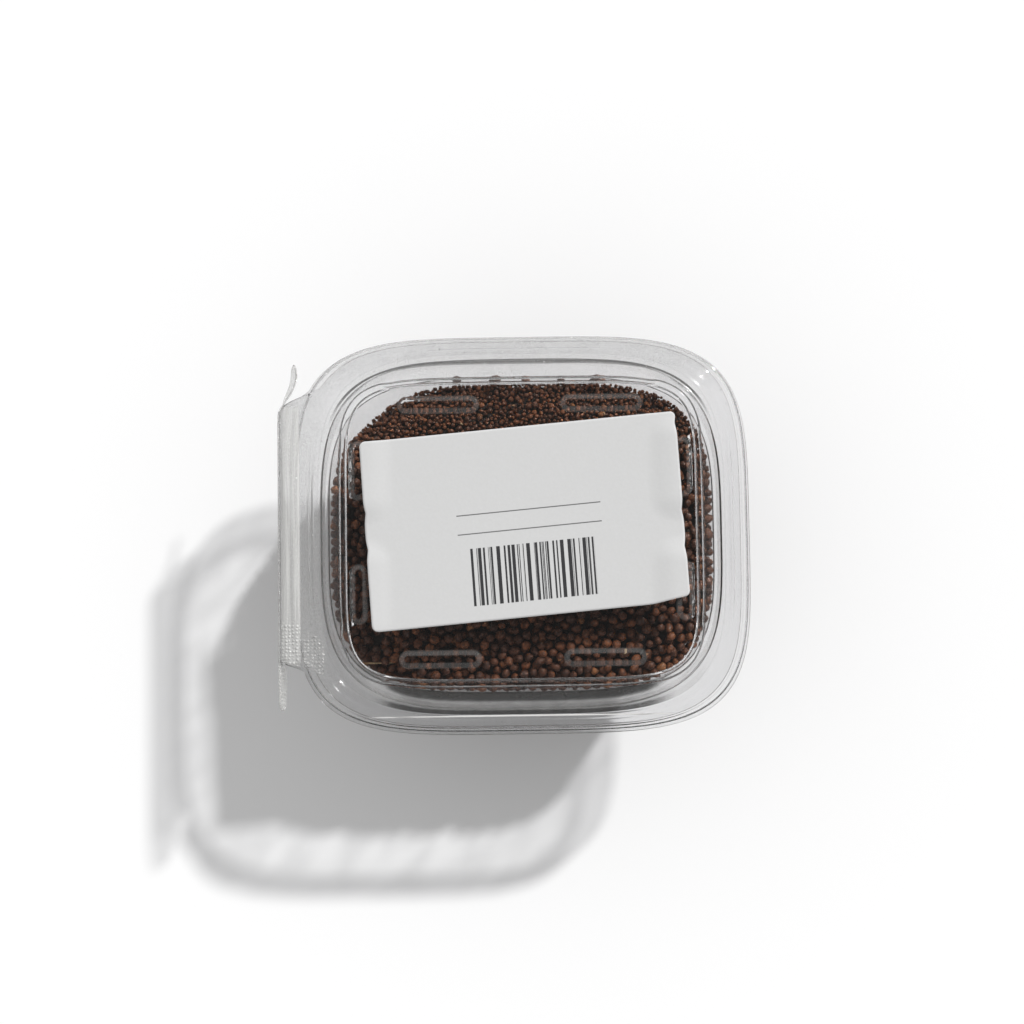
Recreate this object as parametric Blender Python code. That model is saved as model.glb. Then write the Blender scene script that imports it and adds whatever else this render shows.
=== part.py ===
"""A hinged clear plastic tub of alligator pepper seeds, closed, with its tear strip and label.

Metres, +Z up, +X from the hinge to the opposite side, +Y away from the viewer. The origin is
the bottom centre of the whole object's box, so the tub itself stands a little to +X of it.
"""

import math
import random

import bmesh
import bpy
from mathutils import Vector
from mathutils.geometry import delaunay_2d_cdt

MM = 0.001

# Driving dimensions
SHEET = 0.7 * MM
GAP = 0.3 * MM
RIM_HALF_X = 66.4 * MM
RIM_HALF_Y = 57.8 * MM
MOUTH_HALF_X = 57.6 * MM
MOUTH_HALF_Y = 50.6 * MM
RIM_TOP = 50.0 * MM
SKIRT_DROP = 7.0 * MM
PANEL_TOP = 58.0 * MM
PANEL_HALF_X = 49.9 * MM
PANEL_HALF_Y = 42.3 * MM
HINGE_X = 69.8 * MM
HINGE_HALF_LENGTH = 36.9 * MM
STRIP_HALF_LENGTH = 50.0 * MM

# Corner shapes: a higher exponent gives a squarer outline
RIM_CORNER = 4.3
MOUTH_CORNER = 3.6
BODY_CORNER = 3.8
PANEL_CORNER = 6.5
STEP_CORNER = 5.6
STEP_FOOT_CORNER = 4.8
DOME_CORNER = 3.7

# The tub's body: a tapered wall between two levels, on a foot ring round a raised floor
WALL_LOW = 5.0 * MM
WALL_HIGH = 44.0 * MM
LOW_WALL_HALF_X = 49.0 * MM
LOW_WALL_HALF_Y = 39.6 * MM
HIGH_WALL_HALF_X = 55.9 * MM
HIGH_WALL_HALF_Y = 46.1 * MM
FLOOR_INSET = 13.0 * MM
FLOOR_RISE = 0.8 * MM
FOOT_INNER_INSET = 11.0 * MM
FOOT_OUTER_INSET = 5.2 * MM
HEEL_INSET = 1.5 * MM
LEDGE_INSET_X = 0.6 * MM
LEDGE_INSET_Y = 1.2 * MM
LEDGE_HEIGHT = 45.0 * MM

# The rim, from its outer edge inwards
SKIRT_INSET = 1.0 * MM
BEAD_OUTER_INSET = 1.7 * MM
BEAD_INNER_INSET = 2.5 * MM
FLANGE_INSET = 3.0 * MM
BEAD_OUTER_RISE = 0.9 * MM
BEAD_INNER_RISE = 1.0 * MM
RIM_INSET_SHARE_Y = 0.75

# The lid's dome, from its panel down and out to its edge
PANEL_ROUND = 0.9 * MM
PANEL_ROUND_DROP = 0.5 * MM
STEP_OUT = 1.7 * MM
STEP_HEIGHT = 54.6 * MM
STEP_FOOT_OUT_X = 3.4 * MM
STEP_FOOT_OUT_Y = 3.6 * MM
STEP_FOOT_HEIGHT = 54.0 * MM
DOME_INSET = 0.7 * MM
DOME_FOOT_HEIGHT = 51.0 * MM
LID_EDGE_INSET_X = 4.1 * MM
LID_EDGE_INSET_Y = 3.3 * MM

# The tear strip
STRIP_STATIONS = 24
STRIP_TIP = 3.4 * MM
STRIP_TIP_TRIM = 0.42
STRIP_BOW = 2.2 * MM
STRIP_BOW_REACH = 57.5 * MM

TUB_X = (HINGE_X + SHEET / 2 - RIM_HALF_X) / 2
OUTLINE_STEPS = 56
OUTLINE_CROWDING = 3.0
FLARE_START = 36.4 * MM
FLARE_END = 44.0 * MM
FLARE_STEPS = 6
CLOSEST_ANGLE = math.radians(0.8)
BEAD_FREE = 45.0 * MM
BEAD_FULL = 52.0 * MM

# Stacking lugs on the lid
LUG_RISE = 1.6 * MM
LUG_SINK = 0.3 * MM
LUG_WIDTH = 4.6 * MM
LONG_LUG = 24.5 * MM
SHORT_LUG = 17.0 * MM
LUG_FROM_CENTRE_X = 23.4 * MM
LUG_ROW_Y = 37.2 * MM
LUG_FROM_CENTRE_Y = 17.7 * MM
LUG_ROW_X = 46.4 * MM
LUG_END_SIDES = 4
LUG_DRAFT = 0.8 * MM

# Paper label on the lid
LABEL_WIDTH = 91.6 * MM
LABEL_HEIGHT = 54.6 * MM
LABEL_THICKNESS = 0.3 * MM
LABEL_CENTRE = (0.9 * MM, 3.0 * MM)
LABEL_TURN = math.radians(4.2)
LABEL_COLUMNS = 26
LABEL_ROWS = 10
LABEL_CORNER = 2.5 * MM
LABEL_CORNER_CUT = 0.3
LABEL_CREST = 0.8 * MM
LABEL_SLOPE = 9.0 * MM

# Seeds, larger than life so that each one keeps a shape of its own
SEED_PITCH = 5.2 * MM
SEED_RELIEF = 1.5 * MM
SEED_COLUMNS = 114
SEED_ROWS = 17
HEAP_BOTTOM = 1.9 * MM
HEAP_LEVEL = -2.6 * MM
HEAP_SLOPE_X = 0.03
HEAP_SLOPE_Y = -0.10
CORNER_X = -56.0 * MM
CORNER_Y = 50.0 * MM
CORNER_DIP = 15.0 * MM
CORNER_REACH = 21.0 * MM
EDGE_DROP = 3.5 * MM
EDGE_DROP_POWER = 6
HOLLOW_DEPTH = 0.85
HOLLOW_SPREAD = 0.3
TIP_SPREAD = 0.25
SIDE_TOP_SINK = 0.3
SEED_CLEARANCE = 0.4 * MM
HEEL_TUCK = 3.4 * MM
HEEL_TUCK_END = 5.5 * MM
TOP_RISE = 0.6
LATTICE_JITTER = 0.18
RIM_SPACING = 0.62
RIM_BAND = 2.6 * MM


def clear_scene():
    """Removes whatever the open file holds."""
    for old in list(bpy.data.objects):
        bpy.data.objects.remove(old, do_unlink=True)


def finish(name, colour, roughness, alpha=1.0):
    """A plain Principled material for one piece."""
    material = bpy.data.materials.new(name)
    material.use_nodes = True
    shader = material.node_tree.nodes["Principled BSDF"]
    shader.inputs["Base Color"].default_value = (*colour, 1.0)
    shader.inputs["Roughness"].default_value = roughness
    shader.inputs["Metallic"].default_value = 0.0
    shader.inputs["Alpha"].default_value = alpha
    return material


def add_object(name, mesh_in, material, origin=(0.0, 0.0, 0.0)):
    """Puts a bmesh in the scene as one named object whose origin is at the given point."""
    bmesh.ops.translate(mesh_in, verts=mesh_in.verts, vec=-Vector(origin))
    mesh = bpy.data.meshes.new(name)
    mesh_in.to_mesh(mesh)
    mesh_in.free()
    mesh.materials.append(material)
    mesh.shade_smooth()
    mesh.set_sharp_from_angle(angle=math.radians(40))
    made = bpy.data.objects.new(name, mesh)
    made.location = origin
    bpy.context.collection.objects.link(made)
    return made


def smooth_step(low, high, value):
    """0 below low, 1 above high and a smooth rise between them."""
    t = min(max((value - low) / (high - low), 0.0), 1.0)
    return t * t * (3 - 2 * t)


def outline_point(angle, half_x, half_y, exponent):
    """A point of a rounded rectangle, in the tub's own x and y."""
    c = math.cos(angle)
    s = math.sin(angle)
    reach = (abs(c / half_x) ** exponent + abs(s / half_y) ** exponent) ** (-1 / exponent)
    return reach * c, reach * s


def shell_angles():
    """Steps round the shell, crowded at the corners and where the hinge edge flares out."""
    angles = set()
    for i in range(OUTLINE_STEPS):
        t = i * math.tau / OUTLINE_STEPS
        c = math.copysign(abs(math.cos(t)) ** (2 / OUTLINE_CROWDING), math.cos(t))
        s = math.copysign(abs(math.sin(t)) ** (2 / OUTLINE_CROWDING), math.sin(t))
        angles.add(round(math.atan2(RIM_HALF_Y * s, RIM_HALF_X * c) % math.tau, 6))
    for i in range(FLARE_STEPS):
        y = FLARE_START + (FLARE_END - FLARE_START) * i / (FLARE_STEPS - 1)
        turn = math.atan2(y, RIM_HALF_X * 0.92)
        angles.add(round(math.pi - turn, 6))
        angles.add(round(math.pi + turn, 6))
    ordered = sorted(angles)
    kept = [ordered[0]]
    for angle in ordered[1:]:
        if angle - kept[-1] > CLOSEST_ANGLE:
            kept.append(angle)
    return kept


def hinge_share(x, y, start=FLARE_START, end=FLARE_END):
    """1 along the hinge edge, 0 on the other three sides."""
    return smooth_step(-end, -start, -abs(y)) if x < 0 else 0.0


def ring(half_x, half_y, exponent, z, reach_hinge=False, bead=0.0):
    """One level of a shell: its points, with the hinge edge or the rim's bead where asked."""
    points = []
    for angle in shell_angles():
        x, y = outline_point(angle, half_x, half_y, exponent)
        rise = bead * (1 - hinge_share(x, y, BEAD_FREE, BEAD_FULL))
        if reach_hinge:
            x -= hinge_share(x, y) * (HINGE_X - SHEET / 2 - GAP + x)
        points.append(Vector((x + TUB_X, y, z + rise)))
    return points


def shell(rings):
    """A sheet that starts as a flat face inside the first ring and runs through the others."""
    made = bmesh.new()
    rows = [[made.verts.new(p) for p in points] for points in rings]
    made.faces.new(rows[0])
    for low, high in zip(rows, rows[1:]):
        for i in range(len(low)):
            j = (i + 1) % len(low)
            made.faces.new((low[i], low[j], high[j], high[i]))
    bmesh.ops.recalc_face_normals(made, faces=made.faces)
    return made


def thicken(made):
    """Gives a sheet its thickness, half to each side."""
    solidify = made.modifiers.new("sheet", "SOLIDIFY")
    solidify.thickness = SHEET
    solidify.offset = 0.0
    solidify.use_even_offset = True


def wall_size(z):
    """Half sizes of the middle of the tub's wall at a height, below the ledge."""
    share = (z - WALL_LOW) / (WALL_HIGH - WALL_LOW)
    half_x = LOW_WALL_HALF_X + share * (HIGH_WALL_HALF_X - LOW_WALL_HALF_X)
    half_y = LOW_WALL_HALF_Y + share * (HIGH_WALL_HALF_Y - LOW_WALL_HALF_Y)
    return half_x, half_y


def foot_ring(inset, rise):
    """A level under the tub, inside the foot of its wall."""
    half_x = LOW_WALL_HALF_X - inset
    half_y = LOW_WALL_HALF_Y - inset
    return ring(half_x, half_y, BODY_CORNER, SHEET / 2 + rise)


def rim_ring(inset, z, reach_hinge=False, bead=0.0):
    """A level of the rim, inside its outer edge."""
    half_x = RIM_HALF_X - inset
    half_y = RIM_HALF_Y - inset * RIM_INSET_SHARE_Y
    return ring(half_x, half_y, RIM_CORNER, z, reach_hinge, bead)


def make_tub():
    """The base: foot ring, tapered wall, inner ledge, flange with a bead, and skirt."""
    flange = RIM_TOP - SHEET / 2
    skirt_bottom = RIM_TOP - SKIRT_DROP + SHEET / 2
    ledge_x = MOUTH_HALF_X - LEDGE_INSET_X
    ledge_y = MOUTH_HALF_Y - LEDGE_INSET_Y
    rings = [
        foot_ring(FLOOR_INSET, FLOOR_RISE),
        foot_ring(FOOT_INNER_INSET, 0.0),
        foot_ring(FOOT_OUTER_INSET, 0.0),
        foot_ring(HEEL_INSET, HEEL_INSET),
        ring(*wall_size(WALL_LOW), BODY_CORNER, WALL_LOW),
        ring(*wall_size(WALL_HIGH), BODY_CORNER, WALL_HIGH),
        ring(ledge_x, ledge_y, MOUTH_CORNER, LEDGE_HEIGHT),
        ring(MOUTH_HALF_X + GAP, MOUTH_HALF_Y + GAP, MOUTH_CORNER, flange),
        rim_ring(FLANGE_INSET, flange),
        rim_ring(BEAD_INNER_INSET, flange, bead=BEAD_INNER_RISE),
        rim_ring(BEAD_OUTER_INSET, flange, bead=BEAD_OUTER_RISE),
        rim_ring(SKIRT_INSET, skirt_bottom),
        rim_ring(0.0, skirt_bottom, reach_hinge=True),
    ]
    tub = add_object("tub", shell(rings), finish("clear_tub", (0.86, 0.88, 0.88), 0.12, 0.3))
    thicken(tub)
    return tub


def lug_places():
    """Centre, length and direction of each lug: a pair along every edge of the panel."""
    places = []
    for side in (-1, 1):
        for along in (-1, 1):
            places.append((along * LUG_FROM_CENTRE_X, side * LUG_ROW_Y, LONG_LUG, 0.0))
            places.append((side * LUG_ROW_X, along * LUG_FROM_CENTRE_Y, SHORT_LUG, math.pi / 2))
    return places


def lug(x, y, length, turn):
    """A raised lozenge with round ends and sloping sides, its root sunk in the panel."""
    made = bmesh.new()
    levels = ((LUG_WIDTH / 2, PANEL_TOP - LUG_SINK), (LUG_WIDTH / 2 - LUG_DRAFT, PANEL_TOP + LUG_RISE))
    rows = []
    for radius, z in levels:
        straight = length / 2 - LUG_WIDTH / 2
        row = []
        for end in (1, -1):
            for i in range(LUG_END_SIDES + 1):
                angle = -math.pi / 2 + math.pi * i / LUG_END_SIDES
                px = end * (straight + radius * math.cos(angle))
                py = end * radius * math.sin(angle)
                cx = x + px * math.cos(turn) - py * math.sin(turn)
                cy = y + px * math.sin(turn) + py * math.cos(turn)
                row.append(made.verts.new((cx + TUB_X, cy, z)))
        rows.append(row)
    made.faces.new(rows[0])
    made.faces.new(rows[1])
    count = len(rows[0])
    for i in range(count):
        j = (i + 1) % count
        made.faces.new((rows[0][i], rows[0][j], rows[1][j], rows[1][i]))
    bmesh.ops.recalc_face_normals(made, faces=made.faces)
    return made


def panel_ring(out_x, out_y, exponent, z):
    """A level of the lid's dome, outside the edge of its panel."""
    return ring(PANEL_HALF_X + out_x, PANEL_HALF_Y + out_y, exponent, z)


def make_lid():
    """The lid: flat panel, stepped dome wall, flange out to the hinge, and eight lugs."""
    panel = PANEL_TOP - SHEET / 2
    flange = RIM_TOP + GAP + SHEET / 2
    edge_x = RIM_HALF_X - LID_EDGE_INSET_X
    edge_y = RIM_HALF_Y - LID_EDGE_INSET_Y
    foot_x = MOUTH_HALF_X - DOME_INSET
    foot_y = MOUTH_HALF_Y - DOME_INSET
    rings = [
        panel_ring(-PANEL_ROUND, -PANEL_ROUND, PANEL_CORNER, panel),
        panel_ring(0.0, 0.0, PANEL_CORNER, panel - PANEL_ROUND_DROP),
        panel_ring(STEP_OUT, STEP_OUT, STEP_CORNER, STEP_HEIGHT),
        panel_ring(STEP_FOOT_OUT_X, STEP_FOOT_OUT_Y, STEP_FOOT_CORNER, STEP_FOOT_HEIGHT),
        ring(foot_x, foot_y, DOME_CORNER, DOME_FOOT_HEIGHT),
        ring(MOUTH_HALF_X + GAP, MOUTH_HALF_Y + GAP, MOUTH_CORNER, flange),
        ring(edge_x, edge_y, RIM_CORNER, flange, reach_hinge=True),
    ]
    hinge_axis = (TUB_X - HINGE_X, 0.0, flange)
    lid = add_object("lid", shell(rings), finish("clear_lid", (0.88, 0.9, 0.9), 0.1, 0.3), hinge_axis)
    thicken(lid)
    lugs = bpy.data.collections.new("lugs")
    for number, place in enumerate(lug_places()):
        part = add_object(f"lug_{number}", lug(*place), lid.data.materials[0])
        bpy.context.collection.objects.unlink(part)
        lugs.objects.link(part)
    bpy.context.scene.collection.children.link(lugs)
    join_collection(lid, lugs)
    return lid


def join_collection(target, pieces):
    """Joins a collection's objects to the target in one union, and removes them."""
    union = target.modifiers.new("union", "BOOLEAN")
    union.operation = "UNION"
    union.solver = "EXACT"
    union.operand_type = "COLLECTION"
    union.collection = pieces
    joined = bpy.data.meshes.new_from_object(target.evaluated_get(bpy.context.evaluated_depsgraph_get()))
    target.modifiers.clear()
    target.data = joined
    for piece in list(pieces.objects):
        bpy.data.objects.remove(piece, do_unlink=True)
    bpy.data.collections.remove(pieces)


def make_tear_strip():
    """The upright strip between the two folds, with a free pull tab past each end."""
    half = SHEET / 2
    low = RIM_TOP - SKIRT_DROP
    high = RIM_TOP + GAP + SHEET
    made = bmesh.new()
    rows = []
    for i in range(STRIP_STATIONS + 1):
        y = STRIP_HALF_LENGTH * math.sin(math.pi * (i / STRIP_STATIONS - 0.5))
        past_tip = max(abs(y) - (STRIP_HALF_LENGTH - STRIP_TIP), 0.0) / STRIP_TIP
        trim = (high - low) * STRIP_TIP_TRIM * (1 - math.sqrt(max(1 - past_tip ** 2, 0.0)))
        bow = STRIP_BOW * smooth_step(HINGE_HALF_LENGTH, STRIP_BOW_REACH, y)
        x = TUB_X - HINGE_X + bow
        corners = ((-half, low + trim), (half, low + trim), (half, high - trim), (-half, high - trim))
        rows.append([made.verts.new((x + dx, y, z)) for dx, z in corners])
    made.faces.new(rows[0])
    made.faces.new(rows[-1])
    for near, far in zip(rows, rows[1:]):
        for k in range(4):
            j = (k + 1) % 4
            made.faces.new((near[k], near[j], far[j], far[k]))
    bmesh.ops.recalc_face_normals(made, faces=made.faces)
    fold = (TUB_X - HINGE_X, 0.0, low + half)
    return add_object("tear_strip", made, finish("clear_strip", (0.84, 0.86, 0.86), 0.3, 0.4), fold)


def label_lift(x, y):
    """How far the label stands off the panel: a slope up and over each side lug."""
    lift = 0.0
    for side in (-1, 1):
        for along in (-1, 1):
            past_end = max(abs(y - along * LUG_FROM_CENTRE_Y) - SHORT_LUG / 2, 0.0)
            past_side = max(LUG_ROW_X - LUG_WIDTH / 2 - side * x, 0.0)
            distance = math.hypot(past_end, past_side)
            lift = max(lift, 1 - smooth_step(LABEL_CREST, LABEL_SLOPE, distance))
    return lift * LUG_RISE


def make_label():
    """A paper label laid over the panel, its ends riding over the side lugs."""
    made = bmesh.new()
    rows = []
    for j in range(LABEL_ROWS + 1):
        row = []
        for i in range(LABEL_COLUMNS + 1):
            u = LABEL_WIDTH * (i / LABEL_COLUMNS - 0.5)
            v = LABEL_HEIGHT * (j / LABEL_ROWS - 0.5)
            if i in (0, LABEL_COLUMNS) and j in (0, LABEL_ROWS):
                u -= math.copysign(LABEL_CORNER * LABEL_CORNER_CUT, u)
                v -= math.copysign(LABEL_CORNER * LABEL_CORNER_CUT, v)
            x = LABEL_CENTRE[0] + u * math.cos(LABEL_TURN) - v * math.sin(LABEL_TURN)
            y = LABEL_CENTRE[1] + u * math.sin(LABEL_TURN) + v * math.cos(LABEL_TURN)
            z = PANEL_TOP + GAP + label_lift(x, y)
            row.append(made.verts.new((x + TUB_X, y, z)))
        rows.append(row)
    for near, far in zip(rows, rows[1:]):
        for i in range(LABEL_COLUMNS):
            made.faces.new((near[i], near[i + 1], far[i + 1], far[i]))
    bmesh.ops.triangulate(made, faces=made.faces)
    label = add_object("label", made, finish("label_paper", (0.82, 0.82, 0.81), 0.7))
    paper = label.modifiers.new("paper", "SOLIDIFY")
    paper.thickness = LABEL_THICKNESS
    paper.offset = 1.0
    return label


def heap_top(x, y):
    """Height of the seeds' surface: tipped to the near side, lowest in the far left corner."""
    from_corner = (x - CORNER_X) ** 2 + (y - CORNER_Y) ** 2
    dip = CORNER_DIP * math.exp(-from_corner / (2 * CORNER_REACH ** 2))
    half_x, half_y = wall_size(WALL_HIGH)
    nearness = (abs(x / half_x) ** BODY_CORNER + abs(y / half_y) ** BODY_CORNER) ** (1 / BODY_CORNER)
    edge = EDGE_DROP * min(nearness, 1.0) ** EDGE_DROP_POWER
    return RIM_TOP + HEAP_LEVEL + HEAP_SLOPE_X * x + HEAP_SLOPE_Y * y - dip - edge


def seed_sink(is_seed, draws):
    """How far a point lies under the seeds' tips: little on a seed, more in a hollow."""
    if is_seed:
        return TIP_SPREAD * SEED_RELIEF * draws.random()
    return SEED_RELIEF * (HOLLOW_DEPTH + HOLLOW_SPREAD * draws.random())


def side_rows(made, draws):
    """Rings of points up the heap's side, seeds and hollows in a triangular lattice."""
    rows = []
    for j in range(SEED_ROWS + 1):
        row = []
        for i in range(SEED_COLUMNS):
            angle = math.tau * (i + j / 2) / SEED_COLUMNS
            edge_x, edge_y = outline_point(angle, *wall_size(WALL_HIGH), BODY_CORNER)
            top = heap_top(edge_x, edge_y) - SIDE_TOP_SINK * SEED_RELIEF
            z = HEAP_BOTTOM + (top - HEAP_BOTTOM) * j / SEED_ROWS
            half_x, half_y = wall_size(min(z, WALL_HIGH))
            heel_tuck = HEEL_TUCK * (1 - smooth_step(0.0, HEEL_TUCK_END, z))
            inset = SHEET / 2 + SEED_CLEARANCE + heel_tuck
            inset += seed_sink((i - j) % 3 == 0, draws)
            x, y = outline_point(angle, half_x - inset, half_y - inset, BODY_CORNER)
            row.append(made.verts.new((x + TUB_X, y, z)))
        rows.append(row)
    return rows


def outline_share(x, y, half_x, half_y):
    """Under 1 inside a rounded rectangle of the body's shape, over 1 outside it."""
    return abs(x / half_x) ** BODY_CORNER + abs(y / half_y) ** BODY_CORNER


def top_points(rim, draws):
    """Lattice points over the heap's top, kept clear of the rim's points."""
    step = SEED_PITCH / math.sqrt(3)
    half_x, half_y = wall_size(WALL_HIGH)
    reach = int(half_x / step) + 6
    points = []
    for r in range(-reach, reach + 1):
        for q in range(-2 * reach, 2 * reach + 1):
            x = step * (q + r / 2) + step * LATTICE_JITTER * (draws.random() - 0.5)
            y = step * r * math.sqrt(3) / 2 + step * LATTICE_JITTER * (draws.random() - 0.5)
            sink = seed_sink((q - r) % 3 == 0, draws)
            if outline_share(x, y, half_x - RIM_BAND, half_y - RIM_BAND) > 1.0:
                continue
            if min(math.hypot(x + TUB_X - v.co.x, y - v.co.y) for v in rim) < RIM_SPACING * step:
                continue
            points.append(Vector((x + TUB_X, y, heap_top(x, y) + TOP_RISE * SEED_RELIEF - sink)))
    return points


def make_seeds():
    """The heap of seeds: a closed body whose top and side are raised into seed after seed."""
    draws = random.Random(11)
    made = bmesh.new()
    rows = side_rows(made, draws)
    for low, high in zip(rows, rows[1:]):
        for i in range(SEED_COLUMNS):
            j = (i + 1) % SEED_COLUMNS
            made.faces.new((low[i], low[j], high[i]))
            made.faces.new((low[j], high[j], high[i]))
    rim = rows[-1]
    inner = top_points(rim, draws)
    flat = [v.co.xy for v in rim] + [p.xy for p in inner]
    edges = [(i, (i + 1) % SEED_COLUMNS) for i in range(SEED_COLUMNS)]
    faces = delaunay_2d_cdt(flat, edges, [], 1, 1e-7)[2]
    verts = rim + [made.verts.new(p) for p in inner]
    for face in faces:
        made.faces.new([verts[k] for k in face])
    made.faces.new(rows[0])
    bmesh.ops.recalc_face_normals(made, faces=made.faces)
    return add_object("seeds", made, finish("seed_skin", (0.11, 0.05, 0.028), 0.75))


def main():
    clear_scene()
    tub = make_tub()
    seeds = make_seeds()
    strip = make_tear_strip()
    lid = make_lid()
    label = make_label()
    seeds.parent = tub
    bpy.context.view_layer.update()
    for child, holder in ((strip, tub), (lid, strip), (label, lid)):
        child.parent = holder
        child.matrix_parent_inverse = holder.matrix_world.inverted()
        bpy.context.view_layer.update()


main()
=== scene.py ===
"""The looks of a clear hinged tub of alligator pepper seeds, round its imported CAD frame."""

import math
import random

import bmesh
import bpy
from mathutils import Matrix, Vector
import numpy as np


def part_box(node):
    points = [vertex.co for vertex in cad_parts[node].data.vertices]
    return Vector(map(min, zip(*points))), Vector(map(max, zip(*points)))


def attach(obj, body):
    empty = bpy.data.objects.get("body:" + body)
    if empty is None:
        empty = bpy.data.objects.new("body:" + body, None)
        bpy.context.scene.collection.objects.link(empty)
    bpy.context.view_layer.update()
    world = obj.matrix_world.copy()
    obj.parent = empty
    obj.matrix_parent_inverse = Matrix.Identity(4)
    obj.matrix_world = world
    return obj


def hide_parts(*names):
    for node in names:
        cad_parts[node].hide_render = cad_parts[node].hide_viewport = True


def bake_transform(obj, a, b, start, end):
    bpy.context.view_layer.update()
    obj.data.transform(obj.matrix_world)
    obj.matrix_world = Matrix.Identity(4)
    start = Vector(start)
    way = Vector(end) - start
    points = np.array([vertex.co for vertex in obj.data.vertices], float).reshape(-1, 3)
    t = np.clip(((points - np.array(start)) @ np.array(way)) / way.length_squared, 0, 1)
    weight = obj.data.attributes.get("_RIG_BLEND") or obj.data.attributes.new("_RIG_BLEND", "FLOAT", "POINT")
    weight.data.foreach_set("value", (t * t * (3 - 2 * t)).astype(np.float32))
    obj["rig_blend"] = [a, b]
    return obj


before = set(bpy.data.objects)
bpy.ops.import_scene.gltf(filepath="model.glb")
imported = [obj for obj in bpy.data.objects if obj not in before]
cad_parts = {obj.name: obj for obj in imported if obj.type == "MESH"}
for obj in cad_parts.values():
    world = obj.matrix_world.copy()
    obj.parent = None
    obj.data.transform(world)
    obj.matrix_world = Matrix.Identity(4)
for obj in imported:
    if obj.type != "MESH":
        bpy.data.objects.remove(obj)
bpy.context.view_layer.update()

# Tub. The clear base of the package, thermoformed from one thin sheet: a foot ring round a raised
# floor, a tapered wall, a ledge inside the mouth, a flange with a bead and a skirt turned down
# round it. On the hinge side the skirt's foot reaches out to the tear strip.
MM = 0.001
SHEET = 0.45 * MM
ROUND_STEPS = 288
CROWDING = 3.0
CROWD_LEAN = 0.86
FILLET_SHARE = 0.48
FLARE_START = 36.4 * MM
FAR_FLARE = 43.4 * MM
NEAR_FLARE = 39.0 * MM
BEAD_FREE = 45.0 * MM
BEAD_FULL = 52.0 * MM
RIM_HALF_X = 66.4 * MM
BODY_CORNER = 3.8
LOW_WALL = (49.0, 39.6, 5.0)
HIGH_WALL = (55.9, 46.1, 44.0)
TUB_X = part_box("tub")[1].x - RIM_HALF_X
HINGE_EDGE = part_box("tub")[0].x
FLANGE = 49.75
SKIRT_FOOT = 43.35


def smooth_step(low, high, value):
    """0 below low, 1 above high and a smooth rise between them."""
    t = min(max((value - low) / (high - low), 0.0), 1.0)
    return t * t * (3 - 2 * t)


def outline(angle, half_x, half_y, corner):
    """A point of a rounded rectangle: the higher the corner value, the squarer it is."""
    c = math.cos(angle)
    s = math.sin(angle)
    reach = (abs(c / half_x) ** corner + abs(s / half_y) ** corner) ** (-1 / corner)
    return reach * c, reach * s


def crowded(angle):
    """Moves evenly spaced angles towards the corners, where the outline bends."""
    c = math.copysign(abs(math.cos(angle)) ** (2 / CROWDING), math.cos(angle))
    s = math.copysign(abs(math.sin(angle)) ** (2 / CROWDING), math.sin(angle))
    return math.atan2(CROWD_LEAN * s, c)


def mixed(a, b, share):
    """Values part of the way between two rows of values."""
    return tuple(p + (q - p) * share for p, q in zip(a, b))


def rounded(levels, steps=4):
    """Rounds a profile's corners. The last value of a level is its fillet's reach."""
    made = [levels[0][:-1]]
    for before, level, after in zip(levels, levels[1:], levels[2:]):
        corner = level[:-1]
        if level[-1] == 0:
            made.append(corner)
            continue
        ends = []
        for other in (before, after):
            gap = math.hypot(other[0] - level[0], other[3] - level[3])
            ends.append(mixed(corner, other[:-1], min(level[-1] / gap, FILLET_SHARE)))
        for i in range(steps + 1):
            t = i / steps
            made.append(mixed(mixed(ends[0], corner, t), mixed(corner, ends[1], t), t))
    made.append(levels[-1][:-1])
    return made


def loft(levels, place, cap=False):
    """A sheet swept through levels, from a circle extruded edge by edge."""
    made = bmesh.new()
    turn = made.verts.layers.float.new("turn")
    bmesh.ops.create_circle(made, cap_ends=cap, segments=ROUND_STEPS, radius=1.0)
    for v in made.verts:
        v[turn] = crowded(math.atan2(v.co.y, v.co.x))
        v.co = place(v[turn], *levels[0])
    first = made.edges[:]
    edges = first
    for level in levels[1:]:
        grown = bmesh.ops.extrude_edge_only(made, edges=edges)["geom"]
        fresh = {g for g in grown if isinstance(g, bmesh.types.BMVert)}
        edges = [g for g in grown if isinstance(g, bmesh.types.BMEdge) and fresh.issuperset(g.verts)]
        for v in fresh:
            v.co = place(v[turn], *level)
    return made, first


def hinge_share(x, y, start=FLARE_START, ends=(NEAR_FLARE, FAR_FLARE)):
    """1 along the hinge edge, 0 on the other three sides."""
    return smooth_step(-ends[y > 0], -start, -abs(y)) if x < 0 else 0.0


def finished(name, made, material, sheet=0.0):
    """A bmesh as a smooth-shaded object, with a sheet's thickness where one is given."""
    bmesh.ops.recalc_face_normals(made, faces=made.faces)
    mesh = bpy.data.meshes.new(name)
    made.to_mesh(mesh)
    made.free()
    mesh.shade_smooth()
    mesh.materials.append(material)
    piece = bpy.data.objects.new(name, mesh)
    bpy.context.scene.collection.objects.link(piece)
    if sheet:
        thick = piece.modifiers.new("sheet", "SOLIDIFY")
        thick.thickness = sheet
        thick.offset = 0.0
    return piece


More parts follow.
